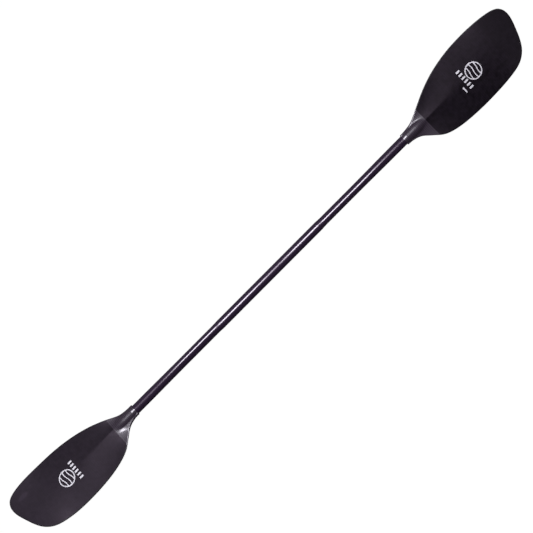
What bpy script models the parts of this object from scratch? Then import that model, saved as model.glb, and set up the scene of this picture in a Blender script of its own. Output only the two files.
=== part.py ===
"""One-piece feathered kayak paddle: a carbon tube with an asymmetric, dihedral blade on each end.

Metres, +Z up.  The shaft runs along X, the right blade is at +X.  The paddle lies at rest: the right blade
on its back, and the left blade, feathered against it, on its long edge.  The origin is on the floor,
under the middle of the shaft.

Each blade is drawn once, in blade coordinates: x along the shaft from the middle of the paddle,
t across the blade towards its long edge, and z out of the power face.
"""
import bpy
import bmesh
from math import cos, hypot, pi, radians, sin, sqrt
from mathutils import Matrix

# Whole paddle
HALF_LENGTH = 0.985
FEATHER = radians(30)
GAP = 0.0003                    # between pieces that touch

# How it lies on the floor
REST_PITCH = radians(1.53)      # the right blade is the lower end
REST_ROLL = radians(0.11)       # and it leans a little onto its short edge
AXIS_HEIGHT = 0.0334            # shaft axis above the floor, at the middle of the paddle

# Shaft: round tube, drawn in to an oval under each hand
SHAFT_RADIUS = 0.01425
SHAFT_WALL = 0.0016
SHAFT_HALF_LENGTH = 0.588
GRIP_ACROSS = 0.0132            # oval's half width across the blade's plane
GRIP_THROUGH = 0.0155           # and square to it
GRIP_START = (0.196, 0.210)     # the oval comes in over this short step
GRIP_FADE = (0.337, 0.497)      # and goes back to round over this long one
SHAFT_SIDES = 28
PLUG_LENGTH = 0.040
PLUG_SINK = 0.001               # the plug stops this far inside the tube's end

# Neck: the moulded socket that joins the tube to the blade
NECK_START = 0.533
NECK_END = 0.615
NECK_RADIUS = 0.0168
COLLAR_STEP = 0.0019            # the neck starts this much thinner
COLLAR_LENGTH = 0.012
NOSE_START = 0.575              # the tube's bulge on the power face tapers from here, like a bullet
NOSE_END = 0.623
NOSE_SLOPE = 1.0                # and past that it falls away under the power face, metre per metre
SPINE_SINK = 0.085              # how fast the bulge on the back sinks into the blade, metre per metre
FILLET = 0.003
FILLET_LEAST = 0.0001
FILLET_LENGTH = 0.050           # the fillet grows over this length from the neck's start
SOCKET_OVERRUN = 0.010          # the socket's cutter starts this far before the neck
ROUNDING_LENGTH = 0.030         # and the neck's thin edges become round over this one
NECK_STATIONS = 15
NECK_SIDES = 48

# Blade: edges from the neck's collar to the tip, as (x, t)
TIP = (HALF_LENGTH, 0.046)
SHORT_EDGE = [(0.533, -0.0169), (0.552, -0.0190), (0.575, -0.0270), (0.600, -0.0480), (0.627, -0.0700),
              (0.665, -0.0832), (0.724, -0.0911), (0.796, -0.0930), (0.868, -0.0885), (0.917, -0.0765),
              (0.949, -0.0500), (0.974, 0.0020), TIP]
LONG_EDGE = [(0.533, 0.0169), (0.552, 0.0180), (0.580, 0.0232), (0.625, 0.0446), (0.670, 0.0643),
             (0.724, 0.0810), (0.787, 0.0917), (0.850, 0.0947), (0.904, 0.0928), (0.949, 0.0862),
             (0.972, 0.0765), (0.9825, 0.0620), TIP]
RIM_WIDTH = 0.0024
RIM_HALF_HEIGHT = 0.0022
RIM_STEPS = 6
SKIN = 0.0009

# Blade section, as (share of the way from neck to tip, size)
EDGE_HEIGHT = [(0.0, 0.0), (0.1, 0.003), (0.2, 0.0075), (0.3, 0.003), (0.42, -0.0035), (0.6, -0.0085),
               (0.72, -0.008), (0.85, -0.002), (1.0, 0.001)]
SPINE_HEIGHT = [(0.0, 0.009), (0.2, 0.0125), (0.4, 0.008), (0.65, 0.001), (1.0, 0.0012)]
FLANK_DIP = [(0.0, 0.0), (0.12, 0.0022), (0.22, 0.0026), (0.4, 0.0026), (0.6, 0.0013), (0.85, 0.0004),
             (1.0, 0.0)]
RIDGE_SOFTNESS = [(0.0, 0.03), (0.3, 0.03), (0.6, 0.22), (1.0, 0.4)]
HALF_THICKNESS = [(0.0, 0.006), (0.2, 0.006), (0.35, 0.005), (0.6, 0.004), (0.8, 0.0032), (0.92, 0.0025),
                  (1.0, 0.0022)]
SHAPING_HALF_WIDTH = {"short": [(0.12, 0.0355), (0.2, 0.066), (0.3, 0.083), (0.5, 0.0937), (0.75, 0.0895),
                                (1.0, 0.085)],
                      "long": [(0.12, 0.027), (0.2, 0.0446), (0.3, 0.0643), (0.5, 0.088), (0.7, 0.0945),
                               (1.0, 0.090)]}
BLADE_ROWS = 22
BLADE_COLUMNS = 12
COLUMN_CROWDING = 0.4           # how much closer the columns are at the edges than in the middle

# Plain printed marks on the power faces
MARK_THICKNESS = 0.0003
EMBLEM_X = 0.8063
EMBLEM_RADIUS = 0.0252
EMBLEM_RING = 0.0030
EMBLEM_SIDES = 36
EMBLEM_WAVES = 3
WAVE_STEPS = 14
WINDOW_LEAST = 0.0006
WAVE_HEIGHT = 0.0024
WAVE_BAND = 0.0028
LABEL_X = 0.7716
LABEL_LENGTH = 0.062
LABEL_DEPTH = 0.0128
LABEL_BLOCKS = 6
LABEL_RAIL = 0.0016
LABEL_SPACE = 0.0060
BAR_CENTRE = (0.752, -0.0215)
BAR_SIZE = (0.0043, 0.0175)

# Looks, as (colour, roughness)
SHAFT_CARBON = ((0.030, 0.022, 0.034), 0.20)
NECK_CARBON = ((0.035, 0.028, 0.040), 0.15)
BLADE_CARBON = ((0.030, 0.026, 0.034), 0.45)
RIM_RESIN = ((0.020, 0.018, 0.022), 0.40)
FOAM = ((0.75, 0.72, 0.62), 0.90)
PRINT = ((0.85, 0.85, 0.86), 0.50)


def clear_scene():
    for thing in list(bpy.data.objects):
        bpy.data.objects.remove(thing, do_unlink=True)


def make_collection(name):
    collection = bpy.data.collections.new(name)
    bpy.context.scene.collection.children.link(collection)
    return collection


def make_material(name, look):
    colour, roughness = look
    material = bpy.data.materials.new(name)
    material.use_nodes = True
    shader = material.node_tree.nodes["Principled BSDF"]
    shader.inputs["Base Color"].default_value = (*colour, 1.0)
    shader.inputs["Roughness"].default_value = roughness
    shader.inputs["Metallic"].default_value = 0.0
    return material


def make_frame(name, parent=None, matrix=None):
    frame = bpy.data.objects.new(name, None)
    PARTS.objects.link(frame)
    frame.parent = parent
    if matrix is not None:
        frame.matrix_local = matrix
    return frame


def add_piece(name, mesh, parent, look):
    piece = bpy.data.objects.new(name, mesh)
    PARTS.objects.link(piece)
    piece.parent = parent
    mesh.materials.append(make_material(name, look))
    return piece


def add_cutter(name, mesh, parent):
    cutter = bpy.data.objects.new(name, mesh)
    CUTTERS.objects.link(cutter)
    cutter.parent = parent
    cutter.hide_render = True
    cutter.display_type = 'WIRE'
    return cutter


def smooth_step(low, high, value):
    share = min(max((value - low) / (high - low), 0.0), 1.0)
    return share * share * (3.0 - 2.0 * share)


def smooth_max(one, other, fillet):
    return (one + other + hypot(one - other, fillet)) / 2.0


def hermite(p0, p1, m0, m1, share):
    square = share * share
    cube = square * share
    return ((2 * cube - 3 * square + 1) * p0 + (cube - 2 * square + share) * m0
            + (3 * square - 2 * cube) * p1 + (cube - square) * m1)


def curve_value(keys, where):
    """Smooth curve through (place, value) keys, level at both ends."""
    where = min(max(where, keys[0][0]), keys[-1][0])
    last = len(keys) - 1
    index = max(i for i in range(last) if keys[i][0] <= where)

    def slope(i):
        if i in (0, last):
            return 0.0
        return (keys[i + 1][1] - keys[i - 1][1]) / (keys[i + 1][0] - keys[i - 1][0])

    (start, low), (end, high) = keys[index], keys[index + 1]
    span = end - start
    return hermite(low, high, slope(index) * span, slope(index + 1) * span, (where - start) / span)


def spline(points, steps=24, start_way=(1.0, 0.0), end_way=(0.0, 1.0)):
    """Smooth line through (x, t) points, with the ways it starts and ends."""
    last = len(points) - 1

    def way(i):
        if i in (0, last):
            other = points[1] if i == 0 else points[last - 1]
            length = hypot(points[i][0] - other[0], points[i][1] - other[1])
            unit = start_way if i == 0 else end_way
            return unit[0] * length, unit[1] * length
        before, here, after = points[i - 1], points[i], points[i + 1]
        back = hypot(here[0] - before[0], here[1] - before[1])
        on = hypot(after[0] - here[0], after[1] - here[1])
        scale = 1.0 / (back + on)
        return (after[0] - before[0]) * scale, (after[1] - before[1]) * scale

    line = []
    for i in range(last):
        length = hypot(points[i + 1][0] - points[i][0], points[i + 1][1] - points[i][1])
        ways = []
        for end in (i, i + 1):
            way_x, way_t = way(end)
            if end not in (0, last):
                way_x, way_t = way_x * length, way_t * length
            ways.append((way_x, way_t))
        for step in range(steps):
            line.append(tuple(hermite(points[i][axis], points[i + 1][axis], ways[0][axis], ways[1][axis],
                                      step / steps) for axis in (0, 1)))
    line.append(points[last])
    return line


def cut_line(line, x_start):
    """The part of a line beyond x_start, beginning exactly there."""
    first = next(i for i, point in enumerate(line) if point[0] > x_start)
    (x0, t0), (x1, t1) = line[first - 1], line[first]
    share = (x_start - x0) / (x1 - x0)
    return [(x_start, t0 + (t1 - t0) * share)] + line[first:]


def even_points(line, count, ease=1.5):
    """count + 1 points along a line, closer together towards its end, each with the line's direction."""
    lengths = [0.0]
    for (x0, t0), (x1, t1) in zip(line, line[1:]):
        lengths.append(lengths[-1] + hypot(x1 - x0, t1 - t0))
    points = []
    index = 0
    for step in range(count + 1):
        wanted = lengths[-1] * (1.0 - (1.0 - step / count) ** ease)
        while index < len(lengths) - 2 and lengths[index + 1] < wanted:
            index += 1
        run = lengths[index + 1] - lengths[index]
        share = (wanted - lengths[index]) / run
        (x0, t0), (x1, t1) = line[index], line[index + 1]
        points.append((x0 + (x1 - x0) * share, t0 + (t1 - t0) * share, (x1 - x0) / run, (t1 - t0) / run))
    return points


def edge_line(name):
    points = SHORT_EDGE if name == "short" else LONG_EDGE
    return spline(points, end_way=(0.0, 1.0) if name == "short" else (0.0, -1.0))


def inset_edge(name, distance):
    """Row ends along one edge of the blade beyond the neck, moved into the blade by distance."""
    into = 1.0 if name == "short" else -1.0
    points = even_points(cut_line(edge_line(name), NECK_END + GAP), BLADE_ROWS)
    x, t, way_x, _ = points[0]
    moved = [(x, t + into * distance / way_x)]
    moved += [(x - into * way_t * distance, t + into * way_x * distance)
              for x, t, way_x, way_t in points[1:-1]]
    return moved + [(TIP[0] - distance, TIP[1])]


def blade_share(x):
    return (x - NECK_START) / (HALF_LENGTH - NECK_START)


def cross_share(x, t):
    """How far towards an edge a point is: 0 on the spine, 1 at the edge."""
    side = "long" if t > 0 else "short"
    return abs(t) / curve_value(SHAPING_HALF_WIDTH[side], blade_share(x))


def half_thickness(x, t):
    centre = curve_value(HALF_THICKNESS, blade_share(x))
    return RIM_HALF_HEIGHT + (centre - RIM_HALF_HEIGHT) * max(1.0 - cross_share(x, t) ** 2, 0.0)


def plate_face(x, t):
    """Power face of the blade alone: a ridge down the middle with a hollow flank each side."""
    share = blade_share(x)
    across = min(cross_share(x, t), 1.0)
    spine = curve_value(SPINE_HEIGHT, share)
    edge = curve_value(EDGE_HEIGHT, share) + RIM_HALF_HEIGHT
    softness = curve_value(RIDGE_SOFTNESS, share)
    from_ridge = hypot(across, softness) - softness
    hollow = 4.0 * curve_value(FLANK_DIP, share) * from_ridge * (1.0 - across)
    return spine + (edge - spine) * across ** 2 - hollow


def neck_radius(x):
    return NECK_RADIUS - COLLAR_STEP * (1.0 - smooth_step(NECK_START, NECK_START + COLLAR_LENGTH, x))


def tube_bulge(t, radius, sink):
    if abs(t) < radius:
        return sqrt(radius ** 2 - t ** 2) - sink
    return 2.0 * (radius - abs(t)) - sink


def nose_bulge(x, t):
    """The tube's bulge on the power face, which ends in a bullet nose."""
    share = min(max((x - NOSE_START) / (NOSE_END - NOSE_START), 0.0), 1.0)
    return tube_bulge(t, neck_radius(x) * sqrt(1.0 - share ** 2), NOSE_SLOPE * max(x - NOSE_END, 0.0))


def fillet_size(x):
    return FILLET_LEAST + FILLET * smooth_step(NECK_START, NECK_START + FILLET_LENGTH, x)


def power_face(x, t):
    return smooth_max(nose_bulge(x, t), plate_face(x, t), fillet_size(x))


def back_face(x, t):
    plate = plate_face(x, t) - 2.0 * half_thickness(x, t)
    sink = SPINE_SINK * max(x - NECK_END, 0.0)
    return -smooth_max(tube_bulge(t, neck_radius(x), sink), -plate, fillet_size(x))


def inside(height, depth, way):
    """The surface that lies depth squarely inside height(x, t); way is -1 to go down and 1 to go up."""
    step = 0.001

    def surface(x, t):
        slope_x = (height(x + step, t) - height(x - step, t)) / (2.0 * step)
        slope_t = (height(x, t + step) - height(x, t - step)) / (2.0 * step)
        return height(x, t) + way * depth * sqrt(1.0 + slope_x ** 2 + slope_t ** 2)

    return surface


def finish_mesh(bm, name, crease=radians(40)):
    bmesh.ops.recalc_face_normals(bm, faces=bm.faces)
    mesh = bpy.data.meshes.new(name)
    bm.to_mesh(mesh)
    bm.free()
    mesh.shade_smooth()
    mesh.set_sharp_from_angle(angle=crease)
    return mesh


def bridge(bm, ring, next_ring, closed=True):
    count = len(ring)
    for i in range(count if closed else count - 1):
        j = (i + 1) % count
        bm.faces.new((ring[i], ring[j], next_ring[j], next_ring[i]))


def loft(rings):
    """Solid through closed rings of points, with a cap on each end."""
    bm = bmesh.new()
    loops = [[bm.verts.new(point) for point in ring] for ring in rings]
    for one, other in zip(loops, loops[1:]):
        bridge(bm, one, other)
    bm.faces.new(loops[0])
    bm.faces.new(loops[-1])
    return bm


def blade_grid(height):
    """Rows of points over the blade inside its rim, at height(x, t)."""
    short, long = (inset_edge(name, RIM_WIDTH + GAP) for name in ("short", "long"))
    rows = []
    for (x0, t0), (x1, t1) in zip(short[:-1], long[:-1]):
        row = []
        for column in range(BLADE_COLUMNS + 1):
            even = column / BLADE_COLUMNS
            crowded = (1.0 - cos(pi * even)) / 2.0
            share = even + (crowded - even) * COLUMN_CROWDING
            x = x0 + (x1 - x0) * share
            t = t0 + (t1 - t0) * share
            row.append((x, t))
        if t0 < 0.0 < t1:
            nearest = min(range(1, BLADE_COLUMNS), key=lambda i: abs(row[i][1]))
            share = -t0 / (t1 - t0)
            row[nearest] = (x0 + (x1 - x0) * share, 0.0)
        rows.append([(x, t, height(x, t)) for x, t in row])
    tip = short[-1]
    return rows, (tip[0], tip[1], height(*tip))


def surface_faces(bm, rows, tip, side):
    """Open sheet over a grid of rows that closes to a point at the tip."""
    loops = [[bm.verts.new((side * x, t, z)) for x, t, z in row] for row in rows]
    for one, other in zip(loops, loops[1:]):
        bridge(bm, one, other, closed=False)
    point = bm.verts.new((side * tip[0], tip[1], tip[2]))
    for left, right in zip(loops[-1], loops[-1][1:]):
        bm.faces.new((left, right, point))
    border = [row[0] for row in loops] + [point] + [row[-1] for row in reversed(loops)]
    return border + list(reversed(loops[0][1:-1]))


def make_layer(name, side, upper, lower, parent, look):
    """Solid sheet of the blade between the surfaces upper(x, t) and lower(x, t)."""
    bm = bmesh.new()
    borders = [surface_faces(bm, *blade_grid(height), side) for height in (upper, lower)]
    bridge(bm, *borders)
    return add_piece(name, finish_mesh(bm, name), parent, look)


def rim_middle(x, t):
    return power_face(x, t) - RIM_HALF_HEIGHT


def make_rim(name, side, parent):
    """D-shaped bead round the blade's edge, flat against the skins and core."""
    outer, inner = (inset_edge("short", depth) + list(reversed(inset_edge("long", depth)[:-1]))
                    for depth in (0.0, RIM_WIDTH))
    rings = []
    for (x, t), (inner_x, inner_t) in zip(outer, inner):
        middle = rim_middle(inner_x, inner_t)
        ring = []
        for step in range(RIM_STEPS + 1):
            angle = pi / 2 - pi * step / RIM_STEPS
            out = cos(angle)
            ring.append((side * (inner_x + (x - inner_x) * out), inner_t + (t - inner_t) * out,
                         middle + RIM_HALF_HEIGHT * sin(angle)))
        rings.append(ring)
    return add_piece(name, finish_mesh(loft(rings), name), parent, RIM_RESIN)


def edge_at(line, x):
    """The line's t at x, and the cosine of its slant there."""
    first = next(i for i, point in enumerate(line) if point[0] > x or i == len(line) - 1)
    (x0, t0), (x1, t1) = line[first - 1], line[first]
    slant = (x1 - x0) / hypot(x1 - x0, t1 - t0)
    return t0 + (t1 - t0) * (x - x0) / (x1 - x0), slant


def neck_ring(x, lines, side):
    """Section of the neck: a circle at the collar that flattens out into the blade."""
    (low, low_slant), (high, high_slant) = (edge_at(line, x) for line in lines)
    ring = []
    for step in range(NECK_SIDES):
        angle = 2.0 * pi * (step + 0.5) / NECK_SIDES
        t = (high + low) / 2.0 + (high - low) / 2.0 * cos(angle)
        slant = high_slant if t > 0 else low_slant
        from_edge = min(high - t, t - low) * slant / RIM_WIDTH
        rounding = sqrt(1.0 - max(1.0 - from_edge, 0.0) ** 2)
        top, bottom = power_face(x, t), back_face(x, t)
        flat = smooth_step(NECK_START, NECK_START + ROUNDING_LENGTH, x)
        rounding = 1.0 - (1.0 - rounding) * flat
        middle = (top + bottom) / 2.0
        half = (top - bottom) / 2.0 * rounding
        ring.append((side * x, t, middle + half * (1.0 if angle < pi else -1.0)))
    return ring


def make_neck(name, side, parent):
    lines = [edge_line("short"), edge_line("long")]
    rings = []
    for station in range(NECK_STATIONS + 1):
        share = station / NECK_STATIONS
        x = NECK_START + (NECK_END - NECK_START) * share
        rings.append(neck_ring(x, lines, side))
    neck = add_piece(name, finish_mesh(loft(rings), name), parent, NECK_CARBON)
    socket = cylinder_mesh(name + "_socket", SHAFT_RADIUS + GAP, NECK_START - SOCKET_OVERRUN,
                           SHAFT_HALF_LENGTH + GAP, side)
    cut = neck.modifiers.new("socket", 'BOOLEAN')
    cut.operation = 'DIFFERENCE'
    cut.object = add_cutter(name + "_socket", socket, parent)
    return neck


def cylinder_mesh(name, radius, x_from, x_to, side):
    bm = bmesh.new()
    turn = Matrix.Translation((side * (x_from + x_to) / 2.0, 0.0, 0.0)) @ Matrix.Rotation(pi / 2, 4, 'Y')
    bmesh.ops.create_cone(bm, cap_ends=True, segments=SHAFT_SIDES, radius1=radius, radius2=radius,
                          depth=x_to - x_from, matrix=turn)
    return finish_mesh(bm, name)


def make_end_plug(name, side, parent):
    """Foam bulkhead that keeps water out of the tube."""
    end = SHAFT_HALF_LENGTH - PLUG_SINK
    mesh = cylinder_mesh(name, SHAFT_RADIUS - SHAFT_WALL - GAP, end - PLUG_LENGTH, end, side)
    return add_piece(name, mesh, parent, FOAM)


def grip_amount(x):
    """1 where the shaft is fully oval, 0 where it is round."""
    return smooth_step(*GRIP_START, abs(x)) * (1.0 - smooth_step(*GRIP_FADE, abs(x)))


def tube_ring(x, wall):
    amount = grip_amount(x)
    across = SHAFT_RADIUS + (GRIP_ACROSS - SHAFT_RADIUS) * amount - wall
    through = SHAFT_RADIUS + (GRIP_THROUGH - SHAFT_RADIUS) * amount - wall
    turn = -FEATHER if x < 0 else 0.0
    ring = []
    for step in range(SHAFT_SIDES):
        angle = 2.0 * pi * step / SHAFT_SIDES
        y, z = across * cos(angle - turn), through * sin(angle - turn)
        ring.append((x, y * cos(turn) - z * sin(turn), y * sin(turn) + z * cos(turn)))
    return ring


def tube_stations():
    half = [0.0, 0.190, GRIP_START[0], (GRIP_START[0] + GRIP_START[1]) / 2, GRIP_START[1], 0.270]
    fade_from, fade_to = GRIP_FADE
    half += [fade_from + (fade_to - fade_from) * share / 4 for share in range(5)]
    half.append(SHAFT_HALF_LENGTH)
    return [-x for x in reversed(half[1:])] + half


def make_shaft(name, parent):
    bm = bmesh.new()
    walls = []
    for wall in (0.0, SHAFT_WALL):
        loops = [[bm.verts.new(point) for point in tube_ring(x, wall)] for x in tube_stations()]
        for one, other in zip(loops, loops[1:]):
            bridge(bm, one, other)
        walls.append(loops)
    for end in (0, -1):
        bridge(bm, walls[0][end], walls[1][end])
    return add_piece(name, finish_mesh(bm, name), parent, SHAFT_CARBON)


def circle_points(x, t, radius, count):
    angles = [2 * pi * index / count for index in range(count)]
    return [(x + radius * cos(angle), t + radius * sin(angle)) for angle in angles]


def emblem_window(low, high):
    """The opening between two waves, inside the ring."""
    inner = EMBLEM_RADIUS - EMBLEM_RING
    near, far = [], []
    for step in range(WAVE_STEPS + 1):
        t = inner * (2.0 * step / WAVE_STEPS - 1.0)
        reach = sqrt(max(inner ** 2 - t ** 2, 0.0))
        wave = WAVE_HEIGHT * sin(pi * t / EMBLEM_RADIUS)
        bottom = max(low + wave, -reach)
        top = min(high + wave, reach)
        if top - bottom > WINDOW_LEAST:
            near.append((EMBLEM_X + bottom, t))
            far.append((EMBLEM_X + top, t))
    return near + list(reversed(far))


def emblem_outlines():
    """A ring crossed by waves: its rim, and the windows left open between the waves."""
    pitch = 2.0 * EMBLEM_RADIUS / (EMBLEM_WAVES + 1)
    levels = [-EMBLEM_RADIUS + pitch * index for index in range(EMBLEM_WAVES + 2)]
    windows = [emblem_window(low + WAVE_BAND / 2, high - WAVE_BAND / 2)
               for low, high in zip(levels, levels[1:])]
    return [circle_points(EMBLEM_X, 0.0, EMBLEM_RADIUS, EMBLEM_SIDES)] + windows


def label_outline():
    """A row of plain blocks joined by a thin rail."""
    block = (LABEL_LENGTH - LABEL_SPACE * (LABEL_BLOCKS - 1)) / LABEL_BLOCKS
    bottom = LABEL_X - LABEL_DEPTH / 2
    top = LABEL_X + LABEL_DEPTH / 2
    rail, blocks = [], []
    for index in range(LABEL_BLOCKS):
        start = index * (block + LABEL_SPACE) - LABEL_LENGTH / 2
        end = start + block
        rail += [(bottom, start), (bottom, end)]
        blocks += [(bottom + LABEL_RAIL, start)] if index else []
        blocks += [(top, start), (top, end)]
        blocks += [(bottom + LABEL_RAIL, end)] if index < LABEL_BLOCKS - 1 else []
    return [list(reversed(rail)) + blocks]


def bar_outline():
    (x, t), (depth, length) = BAR_CENTRE, BAR_SIZE
    corners = ((-1, -1), (1, -1), (1, 1), (-1, 1))
    return [[(x + depth / 2 * along, t + length / 2 * across) for along, across in corners]]


def make_mark(name, outlines, side, parent):
    """Flat outline, extruded and then laid on the power face."""
    curve = bpy.data.curves.new(name, 'CURVE')
    curve.dimensions = '2D'
    curve.fill_mode = 'BOTH'
    curve.extrude = MARK_THICKNESS / 2
    for outline in outlines:
        loop = curve.splines.new('POLY')
        loop.points.add(len(outline) - 1)
        loop.use_cyclic_u = True
        for point, (x, t) in zip(loop.points, outline):
            point.co = (side * x, t, 0.0, 1.0)
    flat = bpy.data.objects.new(name + "_outline", curve)
    PARTS.objects.link(flat)
    evaluated = flat.evaluated_get(bpy.context.evaluated_depsgraph_get())
    mesh = bpy.data.meshes.new_from_object(evaluated)
    bpy.data.objects.remove(flat, do_unlink=True)
    bm = bmesh.new()
    bm.from_mesh(mesh)
    bmesh.ops.remove_doubles(bm, verts=bm.verts, dist=1e-6)
    for vertex in bm.verts:
        vertex.co.z += power_face(side * vertex.co.x, vertex.co.y) + GAP + MARK_THICKNESS / 2
    return add_piece(name, finish_mesh(bm, name), parent, PRINT)


def make_blade(prefix, side, parent):
    under_power = inside(power_face, SKIN, -1)
    under_back = inside(back_face, SKIN, 1)
    core_top = inside(power_face, SKIN + GAP, -1)
    core_bottom = inside(back_face, SKIN + GAP, 1)
    make_layer(prefix + "_power_face", side, power_face, under_power, parent, BLADE_CARBON)
    make_layer(prefix + "_foam_core", side, core_top, core_bottom, parent, FOAM)
    make_layer(prefix + "_back_face", side, under_back, back_face, parent, BLADE_CARBON)
    make_rim(prefix + "_edge_rim", side, parent)
    make_neck(prefix + "_neck", side, parent)
    make_end_plug(prefix + "_end_plug", side, parent)
    make_mark(prefix + "_emblem", emblem_outlines(), side, parent)
    make_mark(prefix + "_label", label_outline(), side, parent)


clear_scene()
PARTS = make_collection("kayak_paddle")
CUTTERS = make_collection("cutters")
rest = make_frame("paddle_rest", matrix=Matrix.Translation((0.0, 0.0, AXIS_HEIGHT))
                  @ Matrix.Rotation(REST_PITCH, 4, 'Y') @ Matrix.Rotation(REST_ROLL, 4, 'X'))
left_frame = make_frame("left_blade_frame", rest, Matrix.Rotation(-FEATHER, 4, 'X'))
make_shaft("shaft_tube", rest)
make_blade("right", 1, rest)
make_blade("left", -1, left_frame)
make_mark("right_bar", bar_outline(), 1, rest)
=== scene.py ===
"""The look of a one-piece feathered kayak paddle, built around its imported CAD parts.

Carbon-fibre blades with a satin twill surface and a hard rim, glossy overwrapped necks, and a glossy tube.
Metres, in the frame of the part: the shaft along X, +Z up, and the floor at z = 0.

Blade shapes are drawn in blade coordinates: x along the shaft from the middle of the paddle, t across the
blade towards its long edge, and z out of the power face.  Each mesh also carries a map named "place",
in metres along and across the cloth it is made of.
"""

from math import cos, hypot, pi, radians, sin, sqrt

import bmesh
import bpy
from mathutils import Matrix, Vector


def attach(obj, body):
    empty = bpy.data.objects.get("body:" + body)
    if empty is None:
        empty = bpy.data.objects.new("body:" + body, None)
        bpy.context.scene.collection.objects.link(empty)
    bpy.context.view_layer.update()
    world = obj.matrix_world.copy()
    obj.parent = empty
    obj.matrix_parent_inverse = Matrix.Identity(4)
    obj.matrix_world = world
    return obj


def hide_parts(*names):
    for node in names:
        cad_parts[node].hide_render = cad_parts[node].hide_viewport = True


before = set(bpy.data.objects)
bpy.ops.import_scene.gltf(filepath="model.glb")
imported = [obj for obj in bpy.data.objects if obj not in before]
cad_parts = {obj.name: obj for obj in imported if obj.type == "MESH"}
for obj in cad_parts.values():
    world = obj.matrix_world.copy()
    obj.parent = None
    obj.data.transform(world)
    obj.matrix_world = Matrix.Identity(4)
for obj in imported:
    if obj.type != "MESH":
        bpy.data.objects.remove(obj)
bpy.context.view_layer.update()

# How the paddle lies, as in the part
HALF_LENGTH = 0.985
FEATHER = radians(30)
REST_PITCH = radians(1.53)
REST_ROLL = radians(0.11)
AXIS_HEIGHT = 0.0334
REST = (Matrix.Translation((0.0, 0.0, AXIS_HEIGHT)) @ Matrix.Rotation(REST_PITCH, 4, 'Y')
        @ Matrix.Rotation(REST_ROLL, 4, 'X'))
SIDES = {"right": (1, REST), "left": (-1, REST @ Matrix.Rotation(-FEATHER, 4, 'X'))}
SEAM = 0.00004                  # pieces that touch are this far apart
CREASE = radians(40)            # edges sharper than this stay sharp

# Shaft
SHAFT_RADIUS = 0.01425
SHAFT_WALL = 0.0016
SHAFT_HALF_LENGTH = 0.588
GRIP_ACROSS = 0.0132
GRIP_THROUGH = 0.0155
GRIP_START = (0.196, 0.210)
GRIP_FADE = (0.337, 0.497)
SHAFT_SIDES = 96
SHAFT_STATIONS = 160

# Neck
NECK_START = 0.533
NECK_END = 0.615
NECK_RADIUS = 0.0168
COLLAR_STEP = 0.0019
COLLAR_LENGTH = 0.012
NOSE_START = 0.575
NOSE_END = 0.623
NOSE_SLOPE = 1.0
BULGE_SLOPE = 2.0               # how steeply the tube's bulge falls away beside the tube
SPINE_SINK = 0.085
FILLET = 0.003
FILLET_LEAST = 0.0001
FILLET_LENGTH = 0.050
ROUNDING_LENGTH = 0.030
NECK_STATIONS = 80
NECK_SIDES = 144

# Blade outline, as (x, t)
TIP = (HALF_LENGTH, 0.046)
SHORT_EDGE = [(0.533, -0.0169), (0.552, -0.0190), (0.575, -0.0270), (0.600, -0.0480), (0.627, -0.0700),
              (0.665, -0.0832), (0.724, -0.0911), (0.796, -0.0930), (0.868, -0.0885), (0.917, -0.0765),
              (0.949, -0.0500), (0.974, 0.0020), TIP]
LONG_EDGE = [(0.533, 0.0169), (0.552, 0.0180), (0.580, 0.0232), (0.625, 0.0446), (0.670, 0.0643),
             (0.724, 0.0810), (0.787, 0.0917), (0.850, 0.0947), (0.904, 0.0928), (0.949, 0.0862),
             (0.972, 0.0765), (0.9825, 0.0620), TIP]
RIM_WIDTH = 0.0024
RIM_HALF_HEIGHT = 0.0022
RIM_STEPS = 12
RIM_TRIM = 0.00014              # keeps the smooth bead inside the part's coarser one
SKIN = 0.0009

# Blade section, as (share of the way from neck to tip, size)
EDGE_HEIGHT = [(0.0, 0.0), (0.1, 0.003), (0.2, 0.0075), (0.3, 0.003), (0.42, -0.0035), (0.6, -0.0085),
               (0.72, -0.008), (0.85, -0.002), (1.0, 0.001)]
SPINE_HEIGHT = [(0.0, 0.009), (0.2, 0.0125), (0.4, 0.008), (0.65, 0.001), (1.0, 0.0012)]
FLANK_DIP = [(0.0, 0.0), (0.12, 0.0022), (0.22, 0.0026), (0.4, 0.0026), (0.6, 0.0013), (0.85, 0.0004),
             (1.0, 0.0)]
RIDGE_SOFTNESS = [(0.0, 0.03), (0.3, 0.03), (0.6, 0.22), (1.0, 0.4)]
HALF_THICKNESS = [(0.0, 0.006), (0.2, 0.006), (0.35, 0.005), (0.6, 0.004), (0.8, 0.0032), (0.92, 0.0025),
                  (1.0, 0.0022)]
SHAPING_HALF_WIDTH = {"short": [(0.12, 0.0355), (0.2, 0.066), (0.3, 0.083), (0.5, 0.0937), (0.75, 0.0895),
                                (1.0, 0.085)],
                      "long": [(0.12, 0.027), (0.2, 0.0446), (0.3, 0.0643), (0.5, 0.088), (0.7, 0.0945),
                               (1.0, 0.090)]}
BLADE_ROWS = 110
BLADE_COLUMNS = 60
RIDGE_SHARE = (0.12, 0.88)      # the column on the ridge stays this far from the row's ends

# Plain printed marks
MARK_THICKNESS = 0.00012
MARK_CELL = 0.003
EMBLEM_X = 0.8063
EMBLEM_RADIUS = 0.0252
EMBLEM_RING = 0.0030
EMBLEM_SIDES = 120
EMBLEM_WAVES = 3
WAVE_STEPS = 48
WINDOW_LEAST = 0.0003
WAVE_HEIGHT = 0.0024
WAVE_BAND = 0.0028
LABEL_X = 0.7716
LABEL_LENGTH = 0.062
LABEL_DEPTH = 0.0128
LABEL_BLOCKS = 6
LABEL_SPACE = 0.0060
BAR_CENTRE = (0.752, -0.0215)
BAR_SIZE = (0.0043, 0.0175)

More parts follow.
